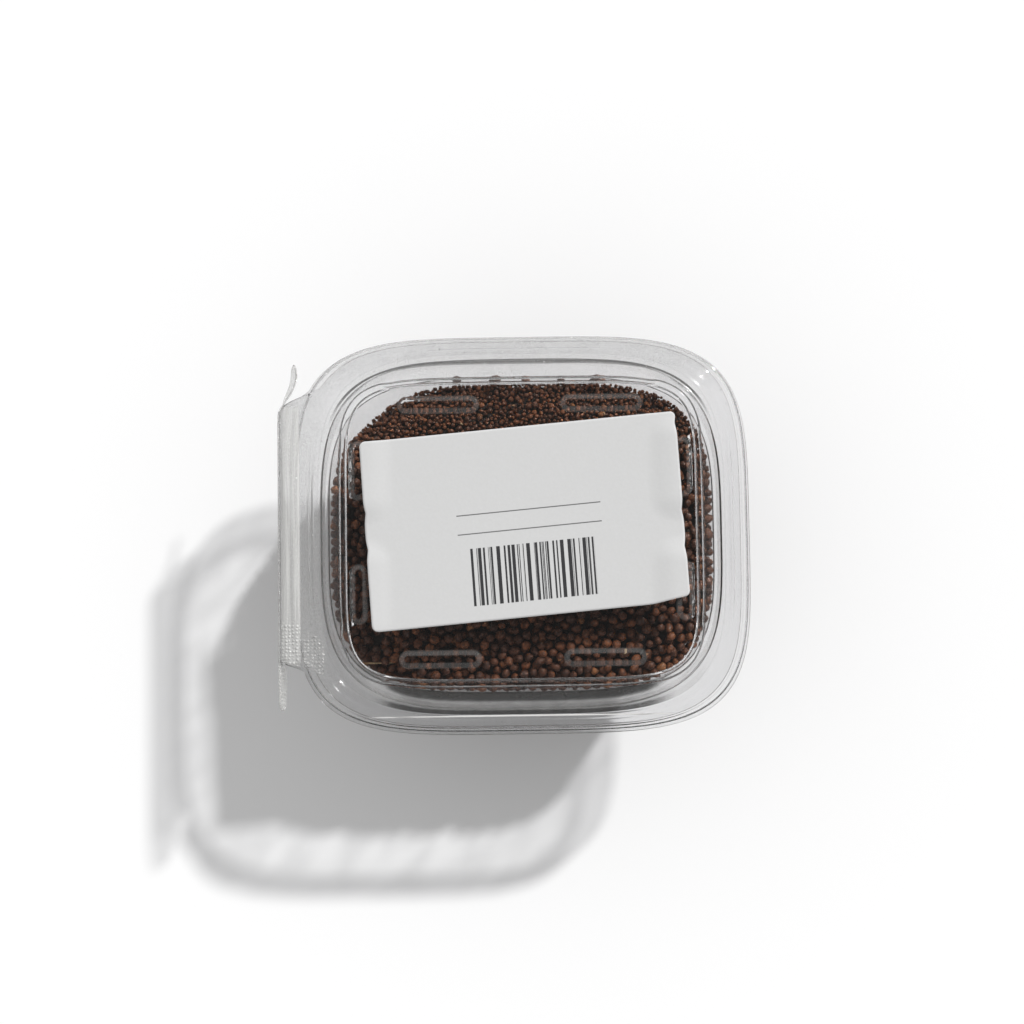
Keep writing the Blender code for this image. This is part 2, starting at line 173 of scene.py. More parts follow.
class Wire:
    """A socket in a node tree, which takes part in sums as a number does."""

    def __init__(self, tree, socket=None):
        self.tree = tree
        self.socket = socket

    def node(self, kind, settings=None, sockets=None, output=0):
        """Adds a node: its settings first, then its sockets' values or links."""
        made = self.tree.nodes.new(kind)
        for name, value in (settings or {}).items():
            if name == "stops":
                ramp = made.color_ramp
                while len(ramp.elements) < len(value):
                    ramp.elements.new(0.5)
                for element, (place, colour) in zip(ramp.elements, value):
                    element.position = place
                    element.color = (*colour, 1.0)
            else:
                setattr(made, name, value)
        for name, value in (sockets or {}).items():
            if isinstance(value, Wire):
                self.tree.links.new(value.socket, made.inputs[name])
            else:
                made.inputs[name].default_value = value
        return Wire(self.tree, made.outputs[output] if made.outputs else None)

    def maths(self, operation, *values):
        return self.node("ShaderNodeMath", {"operation": operation}, dict(enumerate(values)))

    def __add__(self, other):
        return self.maths("ADD", self, other)

    def __sub__(self, other):
        return self.maths("SUBTRACT", self, other)

    def __rsub__(self, other):
        return self.maths("SUBTRACT", other, self)

    def __mul__(self, other):
        return self.maths("MULTIPLY", self, other)

    __radd__ = __add__
    __rmul__ = __mul__

    def ramp(self, low, high):
        """0 below low, 1 above high."""
        sockets = {"Value": self, "From Min": low, "From Max": high}
        return self.node("ShaderNodeMapRange", {"interpolation_type": "SMOOTHSTEP"}, sockets)

    def between(self, low, full, end, past):
        """0 below low and past the last value, 1 from full to end."""
        return self.ramp(low, full) * (1.0 - self.ramp(end, past))

    def noise(self, scale, detail=2.0):
        return self.node("ShaderNodeTexNoise", {}, {"Vector": self, "Scale": scale, "Detail": detail})

    def blended(self, first, second):
        """A colour between two, of which this value is the second one's share."""
        return self.node("ShaderNodeMix", {"data_type": "RGBA"}, {0: self, 6: first, 7: second}, 2)

    def stretched(self, *amounts):
        """This place with each axis scaled, so that a pattern on it is drawn out."""
        return self.node("ShaderNodeVectorMath", {"operation": "MULTIPLY"}, {0: self, 1: amounts})

    def spread(self, half_x, half_y, doublings=2):
        """1 on a rounded rectangle round the tub's middle, less inside it and more outside it."""
        x, y, _ = self.xyz()
        u = (x - TUB_X) * (1 / (half_x * MM))
        v = y * (1 / (half_y * MM))
        for _ in range(doublings):
            u = u * u
            v = v * v
        return u + v

    def xyz(self):
        made = self.node("ShaderNodeSeparateXYZ", {}, {0: self})
        return [Wire(self.tree, s) for s in made.socket.node.outputs]


def new_material(name):
    """An empty material and a wire to its nodes."""
    material = bpy.data.materials.new(name)
    material.use_nodes = True
    material.node_tree.nodes.clear()
    return material, Wire(material.node_tree)


def show(start, shader):
    start.node("ShaderNodeOutputMaterial", {}, {"Surface": shader})


def dust(place, amount):
    """A film of fine dust, thicker in patches, with a few larger grains."""
    fine = place.noise(2600.0, 3.0).ramp(0.42, 0.72)
    patches = place.noise(90.0, 2.0).ramp(0.35, 0.7)
    cell = place.node("ShaderNodeTexVoronoi", {}, {"Vector": place, "Scale": 420.0})
    grains = (1.0 - cell.ramp(0.05, 0.11)) * place.noise(230.0, 1.0).ramp(0.56, 0.6)
    return amount * (0.5 + fine * (0.6 + 0.8 * patches) + grains * 12.0)


def clear_sheet(name, tint, marks):
    """Clear sheet: glass for what looks at it and open to lamps.

    The marks give the share of film, which is dust with painted shade and painted highlights in
    places, how dark the film is, its near-black end being painted shade, the share of lamplight held
    back and the relief.
    """
    material, start = new_material(name)
    place = start.node("ShaderNodeTexCoord", {}, {}, 3)
    film, dust_and_shade_darkness, held, relief = marks(place)
    height = relief + place.noise(140.0, 1.0) * 0.1
    normal = start.node("ShaderNodeBump", {}, {"Height": height, "Distance": 0.0004, "Strength": 0.5})
    glass = start.node("ShaderNodeBsdfPrincipled", {}, {
        "Base Color": tint,
        "Roughness": 0.04,
        "IOR": 1.32,
        "Specular Tint": (0.8, 0.8, 0.8, 1.0),
        "Transmission Weight": 1.0,
        "Normal": normal,
    })
    # The film's colour runs from pale dust to near-black, and that dark end is painted shade.
    dust_and_shade_colour = start.node("ShaderNodeMix", {"data_type": "RGBA"}, {
        0: dust_and_shade_darkness,
        6: (0.66, 0.657, 0.64, 1.0),
        7: (0.022, 0.021, 0.020, 1.0),
    }, 2)
    film_of_dust_and_painted_light = start.node("ShaderNodeBsdfPrincipled", {}, {
        "Base Color": dust_and_shade_colour,
        "Roughness": 0.8,
        "Specular IOR Level": 0.2,
        "Normal": normal,
    })
    seen = start.node("ShaderNodeMixShader", {}, {0: film, 1: glass, 2: film_of_dust_and_painted_light})
    open_part = start.node("ShaderNodeBsdfTransparent", {}, {"Color": (0.98, 0.98, 0.98, 1.0)})
    dim_part = start.node("ShaderNodeBsdfTransparent", {}, {"Color": (0.68, 0.68, 0.685, 1.0)})
    opened = start.node("ShaderNodeMixShader", {}, {0: held, 1: open_part, 2: dim_part})
    lamp = start.node("ShaderNodeLightPath", {}, {}, 1)
    scattered = start.node("ShaderNodeLightPath", {}, {}, 2)
    lit = start.node("ShaderNodeMixShader", {}, {0: lamp, 1: seen, 2: opened})
    show(start, start.node("ShaderNodeMixShader", {}, {0: scattered, 1: lit, 2: opened}))
    return material


def shaded(place):
    """The share of a heavier, darker film along the hinge side and at the far side."""
    x, y, _ = place.xyz()
    return 1.0 - x.ramp(-64.0 * MM, -44.0 * MM) * (1.0 - 0.7 * y.ramp(38.0 * MM, 50.0 * MM))


def hinge_band(place):
    """1 on the straight part of the hinge side, where the rim is flat."""
    x, y, _ = place.xyz()
    ends = y.between(-40.0 * MM, -36.0 * MM, 36.0 * MM, 40.0 * MM)
    return (1.0 - x.ramp(-58.0 * MM, -55.0 * MM)) * ends


def hinge_plate(x):
    """1 on the narrow plate beyond the rim at the hinge."""
    return 1.0 - x.ramp(-62.2 * MM, -61.6 * MM)


def on_rim(place):
    """0 inside the mouth and 1 on the flange and past it."""
    return place.spread(60.0, 52.3).ramp(0.92, 1.1)


def tub_marks(place):
    """Dust on the rim, painted shade as a near-black film on the near ledge and along the far bend, a
    light film along the mouth that paints a highlight, and streaks down the drawn walls.
    """
    x, y, z = place.xyz()
    rim = on_rim(place)
    streaks = place.stretched(1.0, 1.0, 0.1).noise(300.0, 1.0).ramp(0.45, 0.6)
    mouth = place.spread(58.8, 52.3)
    # Painted highlight: a light band of film along the mouth.
    painted_edge_highlight = mouth.between(0.975, 0.99, 1.0, 1.015)
    bend = place.spread(57.8, 50.2)
    # Painted shade: a near-black line along the bend on the far side.
    line = bend.between(0.965, 0.985, 1.01, 1.03) * y.ramp(30.0 * MM, 42.0 * MM)
    # Painted shade: a near-black film on the near ledge, for the shadow under the rim seen through it.
    ledge = (1.0 - y.ramp(-45.5 * MM, -33.0 * MM)) * z.ramp(40.5 * MM, 42.5 * MM)
    ledge = ledge * (1.0 - mouth.ramp(0.985, 1.0)) * (0.75 + 0.5 * place.noise(300.0, 3.0))
    ledge = ledge * (1.0 - 0.75 * place.spread(46.0, 400.0).ramp(0.2, 0.9))
    steps = 0.88 - 0.5 * mouth.ramp(0.66, 0.75) + 0.25 * mouth.ramp(0.87, 0.92)
    # Both are painted shade, laid on as a near-black film.
    painted_shade = ledge * steps + line * 0.6
    haze = shaded(place)
    film = dust(place, 0.008 + 0.008 * rim + 0.15 * haze) + painted_edge_highlight * 0.05 + painted_shade
    held = rim * 0.6 * (1.0 - hinge_band(place)) + hinge_plate(x) * 0.5 + 0.12 + streaks * 0.45
    return film, painted_shade * 1.8 + 0.3 * haze, held, 0.0


def tub_place(angle, half_x, half_y, corner, z, bead, hinge):
    """A point of the tub, in the row's frame, for a level given in millimetres."""
    x, y = outline(angle, half_x * MM, half_y * MM, corner)
    rise = bead * MM * (1 - hinge_share(x, y, BEAD_FREE, (BEAD_FULL, BEAD_FULL)))
    share = hinge * hinge_share(x, y)
    x += TUB_X
    return Vector((x + (HINGE_EDGE - x) * share, y, z * MM + rise))


tub_levels = rounded([
    (35.5, 26.1, BODY_CORNER, 1.0, 0, 0, 0),
    (37.0, 27.6, BODY_CORNER, 1.0, 0, 0, 0.5),
    (38.0, 28.6, BODY_CORNER, 0.225, 0, 0, 0.5),
    (43.8, 34.4, BODY_CORNER, 0.225, 0, 0, 0.8),
    (47.6, 38.2, BODY_CORNER, 2.0, 0, 0, 1.5),
    (49.0, 39.6, BODY_CORNER, 5.5, 0, 0, 1.5),
    (55.9, 46.1, BODY_CORNER, 44.0, 0, 0, 0.6),
    (56.8, 49.2, 3.6, 44.8, 0, 0, 0.7),
    (57.6, 50.6, 3.6, FLANGE, 0, 0, 0.6),
    (59.9, 52.2, 3.9, FLANGE, 0, 0, 0.2),
    (60.3, 52.6, 4.0, FLANGE - 0.4, 0, 0, 0.2),
    (61.2, 53.7, 4.1, FLANGE - 0.4, 0, 0, 0.2),
    (61.6, 54.1, 4.2, FLANGE, 0, 0, 0.2),
    (63.4, 55.6, 4.3, FLANGE, 0, 0, 0.2),
    (63.9, 56.0, 4.3, FLANGE, 0.95, 0, 0.3),
    (64.9, 56.7, 4.3, FLANGE, 0.95, 0, 0.5),
    (65.4, 57.1, 4.3, SKIRT_FOOT, 0, 0, 0.3),
    (66.4, 57.8, 4.3, SKIRT_FOOT, 0, 1, 0),
])
tub_mesh, _ = loft(tub_levels, tub_place, cap=True)
tub_plastic = clear_sheet("tub_plastic", (0.92, 0.92, 0.925, 1.0), tub_marks)
tub = finished("clear_tub", tub_mesh, tub_plastic, SHEET)
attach(tub, "base")
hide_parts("tub")

# Seeds. Small hard angular seeds, 3 to 3.5 mm across, loose in the tub and tipped to its near
# side. A plain near-black body stands for those that nothing shows, its colour painted shade for
# the gaps deep in the heap. Round it lie the seeds pressed to the wall and the floor, and on it the
# two or three layers that show through the lid.
SEED_RADIUS = (1.2 * MM, 1.68 * MM)
FINES_RADIUS = (0.5 * MM, 1.05 * MM)
CRUMB = 1.15 * MM
FINES_FROM = 16.0 * MM
FINES_FULL = 34.0 * MM
HEAP_LEVEL = 47.5 * MM
HEAP_SLOPE_X = 0.015
HEAP_SLOPE_Y = -0.03
CORNER_DIP = 24.0 * MM
CORNER_REACH = 12.0 * MM
CORNER_AT = (-54.0 * MM, 46.0 * MM)
EDGE_DROP = 1.5 * MM
END_DROP = 4.8 * MM
PACKED = 7.0 * MM
LAYERS = (4.6 * MM, 2.6 * MM)
CORE_BELOW = (3.3 * MM, 1.7 * MM)
CORE_HEIGHTS = (2.6, 10.0, 20.0, 30.0, 40.0)
CORE_SHARES = (1.0, 0.9, 0.75, 0.6, 0.45, 0.3, 0.15, 0.02)
SEED_SIDES = ((0.84, 1.02), (0.8, 0.98), (0.98, 1.2))
SEED_CUTS = 3
SEED_CUT = (0.68, 0.95)
SEED_TIP = 0.28
SEED_BATCH = 40
AIR = 0.15 * MM
LOOSE = 0.93
TIGHT = 0.8
SETTLED = 0.88
SUNK = 0.3
PROUD = 0.1
WALL_TRIES = 30000
WALL_HEIGHTS = (3.4, 47.0)
MOUTH_HEIGHTS = (37.0, 47.0)
FOOT_TUCK = 3.0 * MM
FOOT_HEIGHT = 6.0 * MM
FLOOR_TRIES = 9000
FLOOR_X = (-46.0, 46.0)
FLOOR_Y = (-37.0, 37.0)
FLOOR_HALF = (45.0 * MM, 35.6 * MM)
FLOOR_TOP = 1.5 * MM
TOP_TRIES = 34000
COARSE_TRIES = 14000
COARSE_LOOKS = 4
FINES_LOOKS = 2
TOP_X = (-55.0, 55.0)
COARSE_Y = (-45.0, 36.0)
FINES_Y = (FINES_FROM / MM, 46.0)
NUDGE = 1.2
LEDGE_TOP = 45.9 * MM
LEDGE_SEEDS = (
    (-18.2, 45.3, 1.4),
    (-7.1, 45.1, 1.7),
    (1.9, 45.0, 1.4),
    (12.3, 44.8, 1.2),
    (22.3, 45.0, 1.5),
    (24.2, 44.7, 1.3),
)
draws = random.Random(5)


def wall_size(z):
    """Half sizes of the middle of the tub's wall at a height."""
    share = (min(z / MM, HIGH_WALL[2]) - LOW_WALL[2]) / (HIGH_WALL[2] - LOW_WALL[2])
    return [(low + (high - low) * share) * MM for low, high in zip(LOW_WALL[:2], HIGH_WALL[:2])]


def nearness(x, y, half_x, half_y):
    """0 at the tub's middle, 1 on a rounded rectangle of its body's shape."""
    return (abs(x / half_x) ** BODY_CORNER + abs(y / half_y) ** BODY_CORNER) ** (1 / BODY_CORNER)


def heap_top(x, y):
    """Height of the seeds' surface over a point measured from the tub's middle."""
    away = (x - CORNER_AT[0]) ** 2 + (y - CORNER_AT[1]) ** 2
    dip = CORNER_DIP * math.exp(-away / (2 * CORNER_REACH ** 2))
    drop = EDGE_DROP + END_DROP * smooth_step(10.0 * MM, 40.0 * MM, abs(y))
    edge = drop * min(nearness(x, y, *wall_size(HEAP_LEVEL)), 1.0) ** 6
    return HEAP_LEVEL + HEAP_SLOPE_X * x + HEAP_SLOPE_Y * y - dip - edge


class Pile:
    """The seeds placed so far, found again by the square of a grid that each lies in."""

    CELL = 4.0 * MM

    def __init__(self):
        self.seeds = []
        self.cells = {}

    def near(self, x, y):
        i = int(x // self.CELL)
        j = int(y // self.CELL)
        for a in (i - 1, i, i + 1):
            for b in (j - 1, j, j + 1):
                yield from self.cells.get((a, b), ())

    def add(self, x, y, z, radius):
        seed = (x, y, z, radius)
        self.seeds.append(seed)
        key = (int(x // self.CELL), int(y // self.CELL))
        self.cells.setdefault(key, []).append(seed)
        return seed

    def clear(self, x, y, z, radius, squeeze):
        """True if a seed here would overlap no other one by more than the squeeze allows."""
        for nx, ny, nz, near_radius in self.near(x, y):
            reach = (radius + near_radius) * squeeze
            if (x - nx) ** 2 + (y - ny) ** 2 + (z - nz) ** 2 < reach * reach:
                return False
        return True

    def resting(self, x, y, radius, floor, squeeze):
        """The height at which a seed dropped here comes to lie on the others."""
        z = floor
        for nx, ny, nz, near_radius in self.near(x, y):
            reach = ((radius + near_radius) * squeeze) ** 2 - (x - nx) ** 2 - (y - ny) ** 2
            if reach > 0:
                z = max(z, nz + math.sqrt(reach))
        return z


def fines(y):
    """Share of the small seeds and crumbs, which have gathered at the far side."""
    return smooth_step(FINES_FROM, FINES_FULL, y)


def seed_radius(y):
    """The radius of the next seed at a distance from the tub's middle."""
    small, large = mixed(SEED_RADIUS, FINES_RADIUS, fines(y))
    return draws.uniform(small, large)


def seed_ball(made, x, y, z, radius):
    """One seed: a squashed ball with flattened sides, a blunt tip and a shade of its own."""
    spin = Matrix.Rotation(draws.uniform(0, math.pi), 4, Vector([draws.gauss(0, 1) for _ in "xyz"]))
    size = [radius * draws.uniform(*share) for share in SEED_SIDES]
    place = Matrix.Translation((x + TUB_X, y, z)) @ spin @ Matrix.Diagonal((*size, 1.0))
    tone = made.verts.layers.float["tone"]
    if radius < CRUMB:
        ball = bmesh.ops.create_icosphere(made, subdivisions=1, radius=1.0)["verts"]
    else:
        ball = bmesh.ops.create_uvsphere(made, u_segments=8, v_segments=6, radius=1.0)["verts"]
    for _ in range(SEED_CUTS):
        side = Vector([draws.gauss(0, 1) for _ in "xyz"]).normalized()
        cut = draws.uniform(*SEED_CUT)
        for v in ball:
            v.co -= side * max(v.co.dot(side) - cut, 0.0) * 0.85
    tip = draws.uniform(0.0, SEED_TIP)
    rough = 0.04 + 0.2 * (1 - smooth_step(0.9 * MM, 1.4 * MM, radius))
    shade = draws.uniform(0.35, 1.0) if radius < CRUMB else draws.random()
    for v in ball:
        v.co *= 1 + draws.uniform(-rough, rough)
        v.co.z += tip * max(v.co.z - 0.6, 0.0)
        v.co = place @ v.co
        v[tone] = shade


def seed_mesh(seeds):
    """A list of seeds as one mesh, made in short batches because operators slow down on a big one."""
    whole = bmesh.new()
    whole.verts.layers.float.new("tone")
    for first in range(0, len(seeds), SEED_BATCH):
        batch = bmesh.new()
        batch.verts.layers.float.new("tone")
        for seed in seeds[first:first + SEED_BATCH]:
            seed_ball(batch, *seed)
        passed = bpy.data.meshes.new("batch")
        batch.to_mesh(passed)
        batch.free()
        whole.from_mesh(passed)
        bpy.data.meshes.remove(passed)
    return whole


def core_skin(y):
    """How far the hidden body of the heap stays below the seeds' surface."""
    return mixed(CORE_BELOW[:1], CORE_BELOW[1:], fines(y))[0]


def core_place(angle, share, z):
    """A point of the hidden body of the heap, whose top follows the seeds' surface.

    The second pass draws it in to the wall at the height that the first one lowered it to.
    """
    for _ in range(2):
        half_x, half_y = wall_size(z)
        skin = core_skin(outline(angle, half_x, half_y, BODY_CORNER)[1])
        x, y = outline(angle, half_x - skin, half_y - skin, BODY_CORNER)
        z = min(z, heap_top(x * share, y * share) - core_skin(y * share))
    return Vector((x * share + TUB_X, y * share, z))


seed_coat, start = new_material("seed_coat")
place = start.node("ShaderNodeTexCoord", {}, {}, 3)
tone = start.node("ShaderNodeAttribute", {"attribute_name": "tone"}, {}, 2)
base = tone.node("ShaderNodeValToRGB", {"stops": [
    (0.0, (0.055, 0.019, 0.009)),
    (0.5, (0.100, 0.034, 0.014)),
    (0.85, (0.170, 0.056, 0.020)),
    (0.96, (0.21, 0.073, 0.026)),
    (1.0, (0.30, 0.125, 0.047)),
]}, {0: tone})
patches = place.noise(1100.0, 3.0).ramp(0.42, 0.68) * 0.7
mottled = patches.blended(base, (0.016, 0.008, 0.005, 1.0))
warts = place.noise(2600.0, 2.0)
seed_normal = start.node("ShaderNodeBump", {}, {"Height": warts, "Distance": 0.0003, "Strength": 0.9})
show(start, start.node("ShaderNodeBsdfPrincipled", {}, {
    "Base Color": mottled,
    "Roughness": 0.5,
    "Specular IOR Level": 0.3,
    "Normal": seed_normal,
}))

core_levels = [(1.0, z * MM) for z in CORE_HEIGHTS]
core_levels += [(share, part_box("seeds")[1].z) for share in CORE_SHARES]
core_mesh, _ = loft(core_levels, core_place, cap=True)
core_rim = [e for e in core_mesh.edges if e.is_boundary]
bmesh.ops.edgeloop_fill(core_mesh, edges=core_rim)
dark, start = new_material("seed_shade")
place = start.node("ShaderNodeTexCoord", {}, {}, 3)
# Painted shade: near-black, darker than any seed, for the gaps deep in the heap.
shade = place.noise(500.0).blended((0.016, 0.008, 0.005, 1.0), (0.006, 0.003, 0.002, 1.0))
show(start, start.node("ShaderNodeBsdfPrincipled", {}, {"Base Color": shade, "Roughness": 0.9}))
core = finished("seed_core", core_mesh, dark)
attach(core, "base")
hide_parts("seeds")

pile = Pile()
wall_seeds = []
for number in range(WALL_TRIES):
    angle = draws.uniform(0, math.tau)
    z = draws.uniform(*(WALL_HEIGHTS if number % 2 else MOUTH_HEIGHTS)) * MM
    half_x, half_y = wall_size(z)
    x, y = outline(angle, half_x, half_y, BODY_CORNER)
    packed = z > heap_top(x, y) - PACKED
    radius = seed_radius(y if packed else 0.0)
    inset = radius + SHEET / 2 + AIR + (FOOT_TUCK * (1 - smooth_step(0.0, FOOT_HEIGHT, z)))
    x, y = outline(angle, half_x - inset, half_y - inset, BODY_CORNER)
    squeeze = TIGHT if packed else LOOSE
    if z > heap_top(x, y) - SUNK * radius or not pile.clear(x, y, z, radius, squeeze):
        continue
    wall_seeds.append(pile.add(x, y, z, radius))
floor_seeds = []
for _ in range(FLOOR_TRIES):
    radius = draws.uniform(*SEED_RADIUS)
    x = draws.uniform(*FLOOR_X) * MM
    y = draws.uniform(*FLOOR_Y) * MM
    z = FLOOR_TOP + radius
    if nearness(x, y, *FLOOR_HALF) < 1 and pile.clear(x, y, z, radius, LOOSE):
        floor_seeds.append(pile.add(x, y, z, radius))
top_seeds = []
crumbs = []
mouth_x, mouth_y = wall_size(HEAP_LEVEL)
for number in range(TOP_TRIES):
    coarse = number < COARSE_TRIES
    x = draws.uniform(*TOP_X) * MM
    y = draws.uniform(*(COARSE_Y if coarse else FINES_Y)) * MM
    radius = seed_radius(y)
    room = radius + SHEET / 2 + AIR
    depth = LAYERS[0] + (LAYERS[1] - LAYERS[0]) * fines(y)
    best = None
    for _ in range(COARSE_LOOKS if coarse else FINES_LOOKS):
        tx = x + draws.uniform(-NUDGE, NUDGE) * MM
        ty = y + draws.uniform(-NUDGE, NUDGE) * MM
        if nearness(tx, ty, mouth_x - room, mouth_y - room) > 1:
            continue
        tz = pile.resting(tx, ty, radius, heap_top(tx, ty) - depth, SETTLED)
        if best is None or tz < best[2]:
            best = (tx, ty, tz)
    if best is None or best[2] > heap_top(best[0], best[1]) + PROUD * radius:
        continue
    half_x, half_y = wall_size(best[2])
    if nearness(best[0], best[1], half_x - radius, half_y - radius) < 1:
        (crumbs if radius < CRUMB else top_seeds).append(pile.add(*best, radius))
for x, y, radius in LEDGE_SEEDS:
    top_seeds.append((x * MM, y * MM, LEDGE_TOP, radius * MM))
for name, seeds in (
    ("seeds_wall", wall_seeds),
    ("seeds_floor", floor_seeds),
    ("seeds_top", top_seeds),
    ("seeds_crumbs", crumbs),
):
    piece = finished(name, seed_mesh(seeds), seed_coat)
    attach(piece, "base")

# Chaff. Slivers of dry husk that lie among the top seeds, and one thin dry stalk near the corner
# by the grip. All of them came in with the seeds and lie loose.
CHAFF_COUNT = 60
CHAFF_X = (-46.0, 46.0)
CHAFF_Y = (-42.0, 38.0)
CHAFF_REACH = 0.92
CHAFF_SIZE = (0.35 * MM, 0.85 * MM)
CHAFF_HALF = 0.12 * MM
CHAFF_BED = 0.15 * MM
CHAFF_SQUEEZE = 0.9
STALK_AT = (-42.0 * MM, -36.8 * MM)
STALK_LENGTH = 10.0 * MM
STALK_ENDS = (0.3 * MM, 0.14 * MM)
STALK_ABOVE = 0.9 * MM
STALK_TILT = 1.54

chaff_mesh = bmesh.new()
for _ in range(CHAFF_COUNT):
    x = draws.uniform(*CHAFF_X) * MM
    y = draws.uniform(*CHAFF_Y) * MM
    if nearness(x, y, mouth_x, mouth_y) > CHAFF_REACH:
        continue
    size = draws.uniform(*CHAFF_SIZE)
    z = pile.resting(x, y, CHAFF_BED, heap_top(x, y) - LAYERS[0], CHAFF_SQUEEZE)
    lie = Matrix.Rotation(draws.uniform(0, math.tau), 4, "Z") @ Matrix.Rotation(draws.gauss(0, 0.3), 4, "X")
    shape = Matrix.Diagonal((size, 0.45 * size, CHAFF_HALF, 1.0))
    flake = Matrix.Translation((x + TUB_X, y, z)) @ lie @ shape
    bmesh.ops.create_icosphere(chaff_mesh, subdivisions=1, radius=1.0, matrix=flake)
stalk_z = heap_top(*STALK_AT) + STALK_ABOVE
stalk = Matrix.Translation((STALK_AT[0] + TUB_X, STALK_AT[1], stalk_z)) @ Matrix.Rotation(STALK_TILT, 4, "Y")
bmesh.ops.create_cone(chaff_mesh, cap_ends=True, segments=8, radius1=STALK_ENDS[0], radius2=STALK_ENDS[1],
                      depth=STALK_LENGTH, matrix=stalk)
husk, start = new_material("husk")
place = start.node("ShaderNodeTexCoord", {}, {}, 3)
dry = place.noise(260.0, 2.0).ramp(0.35, 0.65).blended((0.30, 0.13, 0.05, 1.0), (0.38, 0.30, 0.18, 1.0))
show(start, start.node("ShaderNodeBsdfPrincipled", {}, {"Base Color": dry, "Roughness": 0.8}))
chaff = finished("chaff", chaff_mesh, husk)
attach(chaff, "base")

# Tear strip. An upright band between the two folds of the hinge, with a free pull tab past each
# end. The far tab leans in, and the near tab has a pimpled grip pressed into the sheet.
STRIP_LOW, STRIP_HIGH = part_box("tear_strip")
SOLID_SHEET = 0.7 * MM
STRIP_X = STRIP_LOW.x + SOLID_SHEET / 2
FOLD_LOW = SKIRT_FOOT * MM
FOLD_HIGH = 50.55 * MM
GRIP_PITCH = 1.05 * MM
FAR_TAPER = 10.0 * MM
NEAR_TAPER = 3.4 * MM
TIP_TRIM = 0.84
TAB_TRIM = 1.2 * MM
FAR_BOW = 4.3 * MM
FAR_LEAN = 1.25 * MM
NEAR_LEAN = 0.6 * MM


def pimples(place):
    """A sheet of small round pimples, in uneven rows."""
    cell = place.node("ShaderNodeTexVoronoi", {"feature": "F1"}, {
        "Vector": place, "Scale": 1 / GRIP_PITCH, "Randomness": 0.35})
    return 1.0 - cell.ramp(0.1, 0.5)


def strip_marks(place):
    """The tabs look frosted and the near one is stippled. The band between them is only a little cloudy."""
    _, y, _ = place.xyz()
    near_tab = 1.0 - y.ramp(-38.0 * MM, -36.0 * MM)
    tabs = y.ramp(36.0 * MM, 38.0 * MM) + near_tab
    dots = pimples(place.stretched(0.0, 1.0, 1.0)) * near_tab
    film = dust(place, 0.22 + 0.22 * tabs) + dots * 0.25
    return film, 0.0, 0.55 + 0.25 * tabs, dots * 1.6


strip_plastic = clear_sheet("strip_plastic", (0.94, 0.94, 0.945, 1.0), strip_marks)
strip_mesh = bmesh.new()
bmesh.ops.create_grid(strip_mesh, x_segments=120, y_segments=8, size=1.0)
half_length = (STRIP_HIGH.y - STRIP_LOW.y) / 2
middle = (STRIP_LOW.z + STRIP_HIGH.z) / 2
half_height = (STRIP_HIGH.z - STRIP_LOW.z) / 2
for v in strip_mesh.verts:
    y = half_length * math.sin(v.co.x * math.pi / 2)
    taper = FAR_TAPER if y > 0 else NEAR_TAPER
    past = max(abs(y) - (half_length - taper), 0.0) / taper
    slim = 1 - TIP_TRIM * (1 - math.sqrt(max(1 - past ** 2, 0.0)))
    height = half_height * slim
    height -= TAB_TRIM * smooth_step(39.0 * MM, 50.0 * MM, abs(y))
    bow = FAR_BOW * smooth_step(34.0 * MM, 47.0 * MM, y)
    far_lean = FAR_LEAN * v.co.y * slim * smooth_step(35.0 * MM, 42.0 * MM, y)
    near_lean = NEAR_LEAN * (1 - v.co.y) * smooth_step(35.5 * MM, 38.5 * MM, -y)
    v.co = (STRIP_X + bow + far_lean + near_lean, y, middle + height * v.co.y)
strip = finished("strip", strip_mesh, strip_plastic, SHEET)
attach(strip, "strip")
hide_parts("tear_strip")

# Lid. The clear cover, thermoformed like the tub: a flat panel with eight long lugs between which
# a like tub stands, a stepped wall round it and a flange that flares out to the tear strip.
PANEL = 57.775
LID_FLANGE = 50.55
LUG_RISE = 0.8 * MM
LUG_HALF_WIDTH = 2.3 * MM
LUG_ENDS = 12
RUBBED_FROM = 1.0
RUBBED_TO = 2.6
LONG_LUG = 11.5 * MM
SHORT_LUG = 8.3 * MM
LUG_X = 23.4 * MM
LUG_ROW_Y = 36.4 * MM
LUG_Y = 17.7 * MM
LUG_ROW_X = 46.4 * MM


def lid_place(angle, half_x, half_y, corner, z, corner_out, corner_rise, hinge, rib):
    """A point of the lid: its wall's step runs along the sides and ends before the corners."""
    x, y = outline(angle, half_x * MM, half_y * MM, corner)
    share = min(smooth_step(37.0 * MM, 40.0 * MM, abs(x)), smooth_step(26.0 * MM, 29.5 * MM, abs(y)))
    x, y = outline(angle, (half_x + corner_out * share) * MM, (half_y + corner_out * share) * MM, corner)
    flare = hinge_share(x, y)
    x += TUB_X
    height = (z + corner_rise * share + rib * flare) * MM
    return Vector((x + (HINGE_EDGE - x) * hinge * flare, y, height))


